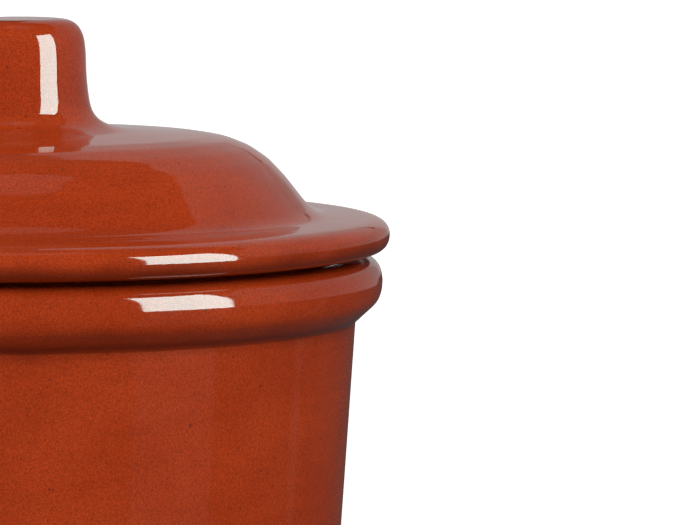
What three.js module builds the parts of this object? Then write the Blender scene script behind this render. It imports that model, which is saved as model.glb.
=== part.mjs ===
// A round lidded butter crock in glazed earthenware, in millimetres with +Z up.
// The origin is the centre of the foot, on the surface that the crock stands on.
// The crock, the lid's shell and the lid's knob are three pieces of clay, and each is one turned solid.

import * as THREE from 'three';

// The crock.
const CROCK_HEIGHT = 102; // foot to the crest of the rim
const RIM_RADIUS = 69; // the widest part of the rolled rim
const RIM_SHOULDER_DROP = 7.6; // from the crest down to where the rolled rim turns under
const RIM_ROUNDING = 4.4; // of the rim's outer edge
const BAND_HEIGHT = 12.3; // the rolled rim, from its crest down to the crease under it
const MOUTH_RADIUS = 59.8;
const WALL_TOP_RADIUS = 63.9; // outside, at the crease
const HEEL_RADIUS = 58.6; // outside, where the wall turns in to the foot
const HEEL_HEIGHT = 14;
const WALL = 5;
const FLOOR_HEIGHT = 8; // top of the floor above the table
const FOOT_RADIUS = 39.7;
const FOOT_RING_WIDTH = 5.7;
const FOOT_RECESS = 1.5; // how far the underside inside the foot ring stands off the table

// The lid's shell.
const SEAT_GAP = 0.5; // between the rim's crest and the flange that rests on it
const FLANGE_RADIUS = 70.4;
const FLANGE_THICKNESS = 7.3;
const FLANGE_UNDER_RISE = 0.5; // the flange's underside lifts towards its edge
const FLANGE_TOP_FALL = 0.7; // and its top drops towards its edge
const DOME_FOOT_RADIUS = 56.2; // the valley between the dome and the flange
const DOME_SHOULDER_RADIUS = 44.9;
const DOME_RISE = 14.5; // from the valley to the shoulder
const DOME_ROUNDING = 9.2;
const DOME_CREST_RISE = 1.5; // from the shoulder to the foot of the knob
const SHELL = 5.4;
const INSIDE_CORNER_SHIFT = 0.9; // how far in and down the dome's inside corner lies, as a share of the shell
const RING_RADIUS = 57.6; // the ring under the lid that keeps it centred in the mouth
const RING_THICKNESS = 5.4;
const RING_DEPTH = 6;
const RING_TAPER = 1;

// The knob.
const KNOB_RADIUS = 12.9;
const KNOB_NECK_RADIUS = 13.15; // where its side starts to widen towards the dome
const KNOB_NECK_RISE = 9.2; // the neck's height above the dome's crest
const KNOB_FLARE_RADIUS = 14.3; // where its side would meet the foot, if that corner were sharp
const KNOB_FLARE_RISE = 1.2; // that corner's height above the dome's crest
const KNOB_FOOT_RADIUS = 21.5;
const KNOB_TOP_HEIGHT = 146.8;
const KNOB_SEAT_DEPTH = 0.9; // the shallow seat that the foot is luted into
const LUTE_GAP = 0.3; // the film of slip between the knob and the shell

// Heights above the table that the lid's two pieces share.
const FLANGE_UNDERSIDE = CROCK_HEIGHT + SEAT_GAP;
const FLANGE_TOP = FLANGE_UNDERSIDE + FLANGE_THICKNESS;
const DOME_SHOULDER = FLANGE_TOP + DOME_RISE;
const DOME_CREST = DOME_SHOULDER + DOME_CREST_RISE;
const KNOB_SEAT = DOME_CREST - KNOB_SEAT_DEPTH;

// How finely the solids are faceted.
const FACETS_AROUND = 60;
const FACETS_PER_CORNER = 4;

const CROCK_COLOUR = 0x9d3518;
const LID_COLOUR = 0xa63c20;

// One corner of an outline: radius, height, and how far before and after it its rounding reaches.
function corner(radius, height, before = 0, after = before) {
  return { at: new THREE.Vector2(radius, height), before, after };
}

// The point at a distance from one corner towards another.
function towards(from, to, distance) {
  return to.clone().sub(from).setLength(distance).add(from);
}

// Points of an outline whose rounded corners are curves tangent to the sides that meet there.
function roundedOutline(corners) {
  const path = new THREE.Path();
  corners.forEach(({ at, before, after }, i) => {
    if (i === 0) {
      path.moveTo(at.x, at.y);
    } else if (before === 0) {
      path.lineTo(at.x, at.y);
    } else {
      const start = towards(at, corners[i - 1].at, before);
      const end = towards(at, corners[i + 1].at, after);
      path.lineTo(start.x, start.y);
      path.quadraticCurveTo(at.x, at.y, end.x, end.y);
    }
  });
  return path.getPoints(FACETS_PER_CORNER);
}

// A named solid of revolution about Z, from an outline that runs from the axis back to the axis.
function turned(name, colour, corners) {
  const geometry = new THREE.LatheGeometry(roundedOutline(corners), FACETS_AROUND);
  geometry.rotateX(Math.PI / 2);
  const material = new THREE.MeshStandardMaterial({ color: colour, roughness: 0.12, metalness: 0 });
  const mesh = new THREE.Mesh(geometry, material);
  mesh.name = name;
  return mesh;
}

// Pot with a foot ring, a slanted heel, a tapered wall and a rolled rim.
function crockBody() {
  const crease = CROCK_HEIGHT - BAND_HEIGHT;
  const footInside = FOOT_RADIUS - FOOT_RING_WIDTH;
  return turned('crock_body', CROCK_COLOUR, [
    corner(0, FOOT_RECESS),
    corner(footInside - FOOT_RECESS, FOOT_RECESS),
    corner(footInside, 0),
    corner(FOOT_RADIUS, 0, 1),
    corner(HEEL_RADIUS, HEEL_HEIGHT, 7),
    corner(WALL_TOP_RADIUS, crease),
    corner(RIM_RADIUS, CROCK_HEIGHT - RIM_SHOULDER_DROP, 2, 3),
    corner(RIM_RADIUS, CROCK_HEIGHT, RIM_ROUNDING),
    corner(MOUTH_RADIUS, CROCK_HEIGHT, 3.6),
    corner(WALL_TOP_RADIUS - WALL, crease),
    corner(HEEL_RADIUS - WALL, FLOOR_HEIGHT, 20),
    corner(0, FLOOR_HEIGHT),
  ]);
}

// Hollow domed lid: a round-edged flange rests on the rim, and a ring under it drops into the mouth.
function lidShell() {
  const ringInside = RING_RADIUS - RING_THICKNESS;
  const ringBottom = FLANGE_UNDERSIDE - RING_DEPTH;
  const ringRoot = FLANGE_TOP - SHELL / 2;
  const insideShift = INSIDE_CORNER_SHIFT * SHELL;
  const seatRadius = KNOB_FOOT_RADIUS + LUTE_GAP;
  return turned('lid_shell', LID_COLOUR, [
    corner(0, KNOB_SEAT - SHELL),
    corner(DOME_SHOULDER_RADIUS - insideShift, DOME_SHOULDER - insideShift, DOME_ROUNDING),
    corner(ringInside, ringRoot, 3),
    corner(ringInside, ringBottom, 1.6),
    corner(RING_RADIUS - RING_TAPER, ringBottom, 1.6),
    corner(RING_RADIUS, FLANGE_UNDERSIDE, 0.8),
    corner(FLANGE_RADIUS, FLANGE_UNDERSIDE + FLANGE_UNDER_RISE, 3.8, 3.2),
    corner(FLANGE_RADIUS, FLANGE_TOP - FLANGE_TOP_FALL, 2.9, 4.2),
    corner(DOME_FOOT_RADIUS, FLANGE_TOP, 3),
    corner(DOME_SHOULDER_RADIUS, DOME_SHOULDER, DOME_ROUNDING),
    corner(seatRadius, DOME_CREST),
    corner(seatRadius, KNOB_SEAT),
    corner(0, KNOB_SEAT),
  ]);
}

// Solid knob whose foot flares out to run into the dome.
function lidKnob() {
  const underside = KNOB_SEAT + LUTE_GAP;
  return turned('lid_knob', LID_COLOUR, [
    corner(0, underside),
    corner(KNOB_FOOT_RADIUS, underside),
    corner(KNOB_FOOT_RADIUS, DOME_CREST),
    corner(KNOB_FLARE_RADIUS, DOME_CREST + KNOB_FLARE_RISE, 5, 3.9),
    corner(KNOB_NECK_RADIUS, DOME_CREST + KNOB_NECK_RISE, 2.5, 3),
    corner(KNOB_RADIUS, KNOB_TOP_HEIGHT, 6, 4.5),
    corner(0, KNOB_TOP_HEIGHT),
  ]);
}

const crock = new THREE.Group();
crock.add(crockBody());

const lid = new THREE.Group();
lid.add(lidShell(), lidKnob());

const butterCrock = new THREE.Group();
butterCrock.add(crock, lid);

export default butterCrock;
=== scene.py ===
"""A butter crock of red earthenware under a clear gloss glaze: its pieces, their materials and the studio.

Each piece is turned again, far more finely, from the outline of the CAD node that it stands for.
Lengths are metres, +Z is up, and the crock's axis is the world's Z axis.
"""
import math
from collections import defaultdict

import bmesh
import bpy
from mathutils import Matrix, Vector, noise


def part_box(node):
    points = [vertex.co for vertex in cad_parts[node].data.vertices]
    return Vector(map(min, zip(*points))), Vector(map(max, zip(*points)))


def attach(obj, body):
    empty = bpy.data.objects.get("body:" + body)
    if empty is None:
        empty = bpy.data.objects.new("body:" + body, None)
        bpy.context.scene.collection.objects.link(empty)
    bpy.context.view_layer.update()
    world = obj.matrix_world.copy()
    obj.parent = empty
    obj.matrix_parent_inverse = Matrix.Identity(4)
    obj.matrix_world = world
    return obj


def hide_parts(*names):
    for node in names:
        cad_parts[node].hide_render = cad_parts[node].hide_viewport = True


MM = 0.001

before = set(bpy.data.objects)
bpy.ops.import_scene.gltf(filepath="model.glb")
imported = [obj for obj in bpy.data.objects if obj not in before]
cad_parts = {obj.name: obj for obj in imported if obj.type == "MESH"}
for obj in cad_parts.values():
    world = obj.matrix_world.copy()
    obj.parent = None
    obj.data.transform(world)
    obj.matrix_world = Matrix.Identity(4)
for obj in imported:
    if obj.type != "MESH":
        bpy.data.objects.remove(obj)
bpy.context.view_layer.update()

RIM_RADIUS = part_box("crock_body")[1].x
RIM_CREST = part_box("crock_body")[1].z
LID_RING_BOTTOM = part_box("lid_shell")[0].z
KNOB_FOOT_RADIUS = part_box("lid_knob")[1].x
KNOB_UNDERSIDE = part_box("lid_knob")[0].z

TURNS = 320  # facets around each piece
STEP = 2 * MM  # the longest side of a finished outline
NEARLY_NOTHING = 1e-7
SHARP_ANGLE = math.radians(50)  # edges that turn further than this stay sharp in the shading
WOBBLE = 0.11 * MM  # how far hand work leaves the clay from a true turned shape
WOBBLES_PER_METRE = 24
OTHER_WOBBLE = Vector((0, 50, 0))  # so far off that the noise there has nothing to do with the noise here
TABLE_GRIP = 10 * MM  # the height over which the foot's flat contact with the table holds the wobble back
FOOT_BARE = 1.3 * MM  # how far up the crock's foot the glaze was wiped off before firing
LID_BARE = 0.5 * MM  # and how far up the lid's ring


# ---------------------------------------------------------------- outlines


def cad_outline(node):
    """(radius, height) points of the outline that a CAD node was turned from, from below up to the top."""
    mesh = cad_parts[node].data
    cut = {}
    for vert in mesh.vertices:
        if abs(vert.co.y) < NEARLY_NOTHING and vert.co.x > -NEARLY_NOTHING:
            cut[vert.index] = (round(vert.co.x, 6), round(vert.co.z, 6))
    neighbours = defaultdict(set)
    for edge in mesh.edges:
        a, b = (cut.get(i) for i in edge.vertices)
        if a and b and a != b:
            neighbours[a].add(b)
            neighbours[b].add(a)
    here = min((p for p in neighbours if p[0] == 0), key=lambda p: p[1])
    walk = [here]
    while len(walk) < len(neighbours):
        here = next(p for p in neighbours[here] if p not in walk)
        walk.append(here)
    return [Vector(p) for p in walk]


def rounded_off(points, rounds=4, reach=0.6 * MM):
    """The outline with its corners cut again and again, which leaves them round as glaze does."""
    for _ in range(rounds):
        cut = [points[0]]
        for a, b in zip(points, points[1:]):
            share = min(0.25, reach / (b - a).length)
            cut += [a.lerp(b, share), a.lerp(b, 1 - share)]
        points = [*cut, points[-1]]
        reach /= 2
    return points


def stepped(points):
    """The same outline with no side longer than STEP."""
    out = [points[0]]
    for a, b in zip(points, points[1:]):
        count = math.ceil((b - a).length / STEP)
        out.extend(a.lerp(b, k / count) for k in range(1, count + 1))
    return out


def crease_place(outline):
    """Which point of the outline is the crease under the rolled rim, where the steep wall turns outwards."""
    for i, (before, here, after) in enumerate(zip(outline, outline[1:], outline[2:])):
        steep = here.x - before.x < 0.2 * (here.y - before.y)
        turns_out = after.x - here.x > 0.5 * (after.y - here.y) > 0
        if steep and turns_out:
            return i + 1
    raise ValueError("the outline has no crease")


# ---------------------------------------------------------------- turning


def hand_made(place):
    """A point of a true turned shape moved a little inwards and down, as hand work leaves it."""
    where = place * WOBBLES_PER_METRE
    pull = WOBBLE * (noise.noise(where) - 1)
    drop = WOBBLE * (noise.noise(where + OTHER_WOBBLE) - 1)
    radius = math.hypot(place.x, place.y)
    if radius > STEP:
        place = place + Vector((place.x, place.y, 0)) * pull / radius
    off_table = min(1, place.z / TABLE_GRIP)
    return place + Vector((0, 0, drop * off_table * radius / RIM_RADIUS))


def turned(name, outline, body, material, replaced):
    """A closed solid turned from an outline that starts and ends on the axis.

    It rides a CAD body, and is seen in place of that body's node that it replaces.
    """
    bm = bmesh.new()
    rings = []
    for point in stepped(outline):
        count = TURNS if point.x > NEARLY_NOTHING else 1
        ring = []
        for k in range(count):
            turn = 2 * math.pi * k / TURNS
            place = Vector((math.cos(turn) * point.x, math.sin(turn) * point.x, point.y))
            ring.append(bm.verts.new(hand_made(place)))
        rings.append(ring)
    for low, high in zip(rings, rings[1:]):
        for k in range(TURNS):
            j = (k + 1) % TURNS
            corners = [low[k % len(low)], low[j % len(low)], high[j % len(high)], high[k % len(high)]]
            bm.faces.new(list(dict.fromkeys(corners)))
    bmesh.ops.recalc_face_normals(bm, faces=bm.faces)
    mesh = bpy.data.meshes.new(name)
    bm.to_mesh(mesh)
    bm.free()
    mesh.shade_smooth()
    mesh.set_sharp_from_angle(angle=SHARP_ANGLE)
    mesh.materials.append(material)
    piece = bpy.data.objects.new(name, mesh)
    bpy.context.scene.collection.objects.link(piece)
    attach(piece, body)
    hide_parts(replaced)


# ---------------------------------------------------------------- materials


class Shading:
    """A new material, with a method for each kind of node that the glaze is made of."""

    def __init__(self, name):
        self.material = bpy.data.materials.new(name)
        self.material.use_nodes = True
        self.nodes = self.material.node_tree.nodes
        self.shader = self.nodes["Principled BSDF"]
        self.place = self.nodes.new("ShaderNodeTexCoord").outputs["Object"]
        self.height = self.part_of(self.place, "Z")

    def link(self, value, socket):
        """Sets a socket to a number or colour, or links it to another socket."""
        if isinstance(value, bpy.types.NodeSocket):
            self.material.node_tree.links.new(value, socket)
        else:
            socket.default_value = value

    def part_of(self, vector, axis):
        split = self.nodes.new("ShaderNodeSeparateXYZ")
        self.link(vector, split.inputs[0])
        return split.outputs[axis]

    def math(self, operation, a, b=0.0):
        node = self.nodes.new("ShaderNodeMath")
        node.operation = operation
        self.link(a, node.inputs[0])
        self.link(b, node.inputs[1])
        return node.outputs[0]

    def noise(self, scale, detail=2.0, roughness=0.5, stretch=(1, 1, 1)):
        """A 0 to 1 noise with about `scale` lumps to the metre, drawn out by the stretch along each axis."""
        mapping = self.nodes.new("ShaderNodeMapping")
        self.link(self.place, mapping.inputs["Vector"])
        mapping.inputs["Scale"].default_value = [1 / s for s in stretch]
        node = self.nodes.new("ShaderNodeTexNoise")
        self.link(mapping.outputs[0], node.inputs["Vector"])
        self.link(scale, node.inputs["Scale"])
        self.link(detail, node.inputs["Detail"])
        self.link(roughness, node.inputs["Roughness"])
        return node.outputs["Fac"]

    def spread(self, value, low, high, start=0.0, end=1.0):
        """The value eased from start to end as it goes from low to high."""
        node = self.nodes.new("ShaderNodeMapRange")
        node.interpolation_type = "SMOOTHSTEP"
        self.link(value, node.inputs["Value"])
        self.link(low, node.inputs["From Min"])
        self.link(high, node.inputs["From Max"])
        self.link(start, node.inputs["To Min"])
        self.link(end, node.inputs["To Max"])
        return node.outputs[0]

    def mixed(self, factor, a, b, kind="MIX"):
        """Colour a turning into colour b as the factor goes from 0 to 1."""
        node = self.nodes.new("ShaderNodeMix")
        node.data_type = "RGBA"
        node.blend_type = kind
        self.link(factor, node.inputs[0])
        self.link(a, node.inputs[6])
        self.link(b, node.inputs[7])
        return node.outputs[2]

    def varied(self, colour, lumps, share):
        """The colour made darker or lighter by up to a share, as a noise has it."""
        factor = self.mixed(self.spread(lumps, 0.3, 0.7), grey(1 - share), grey(1 + share))
        return self.mixed(1.0, colour, factor, "MULTIPLY")

    def band(self, centre, half_width):
        """1 at one height, easing to 0 at half a width above and below it, with a wavering edge."""
        waver = self.math("MULTIPLY", self.math("SUBTRACT", self.noise(60), 0.5), half_width)
        off = self.math("ABSOLUTE", self.math("SUBTRACT", self.math("ADD", self.height, waver), centre))
        return self.spread(off, 0.0, half_width, 1.0, 0.0)


def grey(value):
    return (value, value, value, 1)


DEEP_RED = (0.385, 0.0385, 0.006, 1)
WARM_RED = (0.435, 0.0475, 0.0085, 1)
# Pooled glaze and painted shade: the brown that the bands under the rim, in the crease and under the flange
# darken towards.
POOLED_GLAZE_AND_SHADE_BROWN = (0.11, 0.010, 0.0015, 1)
IRON_SPECK = (0.12, 0.02, 0.008, 1)
BARE_CLAY = (0.56, 0.27, 0.15, 1)
BARE_CLAY_PALE = (0.66, 0.37, 0.23, 1)
GLOSS_ROUGHNESS = (0.045, 0.075)  # from the shiniest patches of glaze to the dullest
BARE_ROUGHNESS = 0.85
GRAIN = 0.23  # how far the fine speckle takes the colour each way
STREAKS = 0.035  # and the streaks left by throwing
STREAK_STRETCH = (8, 8, 1)  # throwing draws its streaks and ridges out round the pot
RIDGE_STRETCH = (12, 12, 1)


def glazed_earthenware(name, bare_below, pooled_and_shaded):
    """Clear gloss glaze over red clay, clouded and finely speckled, with the clay left bare at the foot.

    It is browner in each (height, half width, strength) band that it is given: glaze pooled thick there, and
    painted shade where the rim or flange holds the light off.
    """
    s = Shading(name)
    colour = s.mixed(s.spread(s.noise(45, 3), 0.32, 0.68), DEEP_RED, WARM_RED)
    colour = s.varied(colour, s.noise(3000, 2, 0.6), GRAIN)
    colour = s.varied(colour, s.noise(420, 2, 0.5, STREAK_STRETCH), STREAKS)
    specks = s.spread(s.noise(900, 1, 0.4), 0.74, 0.79, 0.0, 0.7)
    colour = s.mixed(specks, colour, IRON_SPECK)
    # Each band darkens the colour towards brown: partly glaze pooled thick, partly painted shade.
    for height, half_width, strength in pooled_and_shaded:
        colour = s.mixed(s.math("MULTIPLY", s.band(height, half_width), strength), colour, POOLED_GLAZE_AND_SHADE_BROWN)
    edge = s.math("ADD", s.height, s.math("MULTIPLY", s.noise(90, 3), -0.6 * MM))
    bare = s.spread(edge, bare_below - 0.15 * MM, bare_below + 0.15 * MM, 1.0, 0.0)
    clay = s.mixed(s.spread(s.noise(700, 4, 0.6), 0.35, 0.65), BARE_CLAY, BARE_CLAY_PALE)
    s.link(s.mixed(bare, colour, clay), s.shader.inputs["Base Color"])
    gloss = s.spread(s.noise(130, 2), 0.3, 0.7, *GLOSS_ROUGHNESS)
    s.link(s.spread(bare, 0.0, 1.0, gloss, BARE_ROUGHNESS), s.shader.inputs["Roughness"])
    s.shader.inputs["IOR"].default_value = 1.5
    surface_bump(s, bare)
    return s.material


def surface_bump(s, bare):
    """Slow ripples and fine orange peel in the glaze, throwing lines under it, and grit on the bare clay."""
    ripples = s.noise(150, 2)
    peel = s.math("MULTIPLY", s.noise(900, 2), 0.05)
    lines = s.math("MULTIPLY", s.noise(260, 2, 0.5, RIDGE_STRETCH), 0.35)
    height = s.math("ADD", s.math("ADD", ripples, peel), lines)
    grit = s.math("MULTIPLY", s.math("MULTIPLY", s.noise(2200, 4, 0.7), bare), 1.5)
    bump = s.nodes.new("ShaderNodeBump")
    bump.inputs["Strength"].default_value = 0.3
    bump.inputs["Distance"].default_value = 0.12 * MM
    s.link(s.math("ADD", height, grit), bump.inputs["Height"])
    s.link(bump.outputs["Normal"], s.shader.inputs["Normal"])


# ---------------------------------------------------------------- the pieces


def make_crock():
    outline = cad_outline("crock_body")
    corner = crease_place(outline)
    crease = outline[corner].y
    # Browner bands under the rim and in the crease: pooled glaze, and painted shade from the rim's overhang.
    glaze_and_shade_under_rim = (crease + 1.5 * MM, 4 * MM, 0.55)
    glaze_and_shade_in_crease = (crease + 0.8 * MM, 1.3 * MM, 0.75)
    glaze = glazed_earthenware("crock_surface", FOOT_BARE, [glaze_and_shade_under_rim, glaze_and_shade_in_crease])
    crisp_at_crease = [*rounded_off(outline[: corner + 1]), *rounded_off(outline[corner:])[1:]]
    turned("crock_body_clay", crisp_at_crease, "crock", glaze, "crock_body")


def make_lid():
    """The shell and the knob, which meet at the knob's foot under one unbroken coat of glaze."""
    # A browner band on the flange's lower edge: pooled glaze, and painted shade under the flange.
    glaze_and_shade_under_flange = (RIM_CREST + 1.3 * MM, 3.8 * MM, 0.75)
    glaze = glazed_earthenware("lid_surface", LID_RING_BOTTOM + LID_BARE, [glaze_and_shade_under_flange])
    *shell, _, _, seat_centre = cad_outline("lid_shell")
    knob_side = [p for p in cad_outline("lid_knob") if p.y > KNOB_UNDERSIDE + NEARLY_NOTHING]
    outside = rounded_off([*shell, *knob_side])
    foot = max(i for i, p in enumerate(outside) if p.x > KNOB_FOOT_RADIUS)
    joint = outside[foot]
    seat = [Vector((joint.x, seat_centre.y)), seat_centre]
    turned("lid_shell_clay", [*outside[: foot + 1], *seat], "lid", glaze, "lid_shell")
    underside = [Vector((0, KNOB_UNDERSIDE)), Vector((joint.x, KNOB_UNDERSIDE))]
    turned("lid_knob_clay", [*underside, *outside[foot:]], "lid", glaze, "lid_knob")


make_crock()
make_lid()


# ---------------------------------------------------------------- studio

STUDIO_CENTRE = Vector((0, 0, RIM_CREST))
ROOM_RADIUS = 5
ROOM_LIGHT = 0.06  # what every part of the room sends into the shadows
PAPER_GLOW = 0.4  # what the floor adds to the light that falls on it
SOFTBOX_AZIMUTHS = (41.5, 72)
SOFTBOX_TINT = (0.70, 0.95, 0.90)  # it leaves the highlight on red clay nearly white
WALL_FACING = 140  # the azimuth at which the side wall is nearest
SUN_SPREAD = math.radians(90)


def direction(azimuth, elevation):
    """A unit vector, azimuth 0 towards the main camera and 90 to its right."""
    a, e = math.radians(azimuth), math.radians(elevation)
    return Vector((math.sin(a) * math.cos(e), -math.cos(a) * math.cos(e), math.sin(e)))


def staged(name, bm, material, unseen_by=()):
    """A stage object from a bmesh, hidden from some kinds of ray."""
    mesh = bpy.data.meshes.new(name)
    bm.to_mesh(mesh)
    bm.free()
    mesh.materials.append(material)
    thing = bpy.data.objects.new(name, mesh)
    bpy.context.scene.collection.objects.link(thing)
    for ray in unseen_by:
        setattr(thing, f"visible_{ray}", False)


def glow(name, radiance, tint=(1, 1, 1)):
    material = bpy.data.materials.new(name)
    material.use_nodes = True
    tree = material.node_tree
    tree.nodes.clear()
    emission = tree.nodes.new("ShaderNodeEmission")
    emission.inputs["Color"].default_value = (*tint, 1)
    emission.inputs["Strength"].default_value = radiance
    tree.links.new(emission.outputs[0], tree.nodes.new("ShaderNodeOutputMaterial").inputs["Surface"])
    return material


def reflected_panel(name, azimuths, elevations, radiance, distance, tint=(1, 1, 1), facing=None):
    """A glowing panel on a sphere round the rim's centre, which only the glaze's gloss sees.

    It covers a span of azimuths and elevations. With `facing`, the azimuth at which a flat wall is nearest,
    the elevations fall off to both sides of it as the wall's top and bottom edges do.
    """
    cells = 16
    bm = bmesh.new()
    rows = []
    for i in range(cells + 1):
        azimuth = azimuths[0] + (azimuths[1] - azimuths[0]) * i / cells
        row = []
        for j in range(cells + 1):
            elevation = elevations[0] + (elevations[1] - elevations[0]) * j / cells
            if facing is not None:
                rise = math.tan(math.radians(elevation)) * math.cos(math.radians(azimuth - facing))
                elevation = math.degrees(math.atan(rise))
            row.append(bm.verts.new(STUDIO_CENTRE + direction(azimuth, elevation) * distance))
        rows.append(row)
    for left, right in zip(rows, rows[1:]):
        for j in range(cells):
            bm.faces.new((left[j], left[j + 1], right[j + 1], right[j]))
    staged(name, bm, glow(name, radiance, tint), ("camera", "diffuse", "shadow"))


def soft_sun(name, azimuth, elevation, irradiance):
    """Even soft light from one side, which leaves no highlight of its own."""
    light = bpy.data.lights.new(name, "SUN")
    light.energy = irradiance
    light.angle = SUN_SPREAD
    lamp = bpy.data.objects.new(name, light)
    lamp.rotation_mode = "QUATERNION"
    lamp.rotation_quaternion = direction(azimuth, elevation).to_track_quat("Z", "Y")
    lamp.visible_glossy = False
    bpy.context.scene.collection.objects.link(lamp)


def pale_paper():
    """White paper, lit a little from behind so that it is as pale as the room."""
    s = Shading("pale_paper")
    s.shader.inputs["Base Color"].default_value = grey(0.9)
    s.shader.inputs["Roughness"].default_value = 0.9
    s.shader.inputs["Specular IOR Level"].default_value = 0
    s.shader.inputs["Emission Color"].default_value = grey(1)
    s.shader.inputs["Emission Strength"].default_value = PAPER_GLOW
    return s.material


def make_reflections():
    """What the glaze mirrors. Of panels that overlap, the nearer one is seen."""
    reflected_panel("softbox", SOFTBOX_AZIMUTHS, (-9, 40), radiance=17, distance=1.6, tint=SOFTBOX_TINT)
    reflected_panel("softbox_on_table", SOFTBOX_AZIMUTHS, (-40, -9.5), radiance=0.15, distance=1.6)
    reflected_panel("stand", (111, 115), (-35, -4), radiance=0.12, distance=1.65)
    reflected_panel("side_wall", (76, 182), (16, 54), radiance=0.38, distance=1.7, facing=WALL_FACING)
    reflected_panel("side_wall_foot", (76, 165), (-3, 16), radiance=0.32, distance=1.7, facing=WALL_FACING)
    reflected_panel("ceiling", (0, 360), (77, 90), radiance=0.35, distance=1.7)
    reflected_panel("horizon", (165, 276), (-3, 13), radiance=0.45, distance=1.75)


def make_lights():
    """Light for the clay's colour. The gloss doesn't see it."""
    soft_sun("key", azimuth=-20, elevation=60, irradiance=1.5)
    soft_sun("left_fill", azimuth=-20, elevation=0, irradiance=1.2)
    soft_sun("right_fill", azimuth=70, elevation=5, irradiance=1.55)
    soft_sun("back_fill", azimuth=200, elevation=15, irradiance=1.5)
    world = bpy.data.worlds.new("studio")
    world.use_nodes = True
    world.node_tree.nodes["Background"].inputs["Color"].default_value = grey(1)
    world.node_tree.nodes["Background"].inputs["Strength"].default_value = ROOM_LIGHT
    bpy.context.scene.world = world


def make_room():
    """A white floor and a white room, which neither light the crock nor show in its gloss."""
    floor = bmesh.new()
    bmesh.ops.create_circle(floor, cap_ends=True, segments=96, radius=ROOM_RADIUS)
    staged("floor", floor, pale_paper(), ("diffuse", "glossy", "shadow"))
    room = bmesh.new()
    bmesh.ops.create_uvsphere(room, u_segments=48, v_segments=24, radius=ROOM_RADIUS)
    staged("room", room, glow("white_room", 1.0), ("diffuse", "glossy", "transmission", "shadow"))


make_reflections()
make_lights()
make_room()
bpy.context.scene.view_settings.view_transform = "Standard"


# ---------------------------------------------------------------- camera

FRAME_ASPECT = 3 / 4  # the frame's height over its width
CAMERA_ELEVATION = 5  # degrees above the table
CAMERA_DISTANCE = 16.4 * RIM_RADIUS
VIEW_WIDTH = 1.918 * RIM_RADIUS  # what the frame takes in at the crock's axis
AXIS_PLACE = 0.026  # the axis's place across the frame, from its left edge
RIM_PLACE = 0.486  # the rim crest's place down the frame, from its top


def make_camera():
    data = bpy.data.cameras.new("camera")
    data.sensor_width = 36
    data.lens = data.sensor_width * CAMERA_DISTANCE / VIEW_WIDTH
    camera = bpy.data.objects.new("camera", data)
    bpy.context.scene.collection.objects.link(camera)
    across = (0.5 - AXIS_PLACE) * VIEW_WIDTH
    up = RIM_CREST + (RIM_PLACE - 0.5) * VIEW_WIDTH * FRAME_ASPECT
    towards_camera = direction(0, CAMERA_ELEVATION)
    camera.location = Vector((across, 0, up)) + towards_camera * CAMERA_DISTANCE
    camera.rotation_mode = "QUATERNION"
    camera.rotation_quaternion = towards_camera.to_track_quat("Z", "Y")
    bpy.context.scene.camera = camera


make_camera()
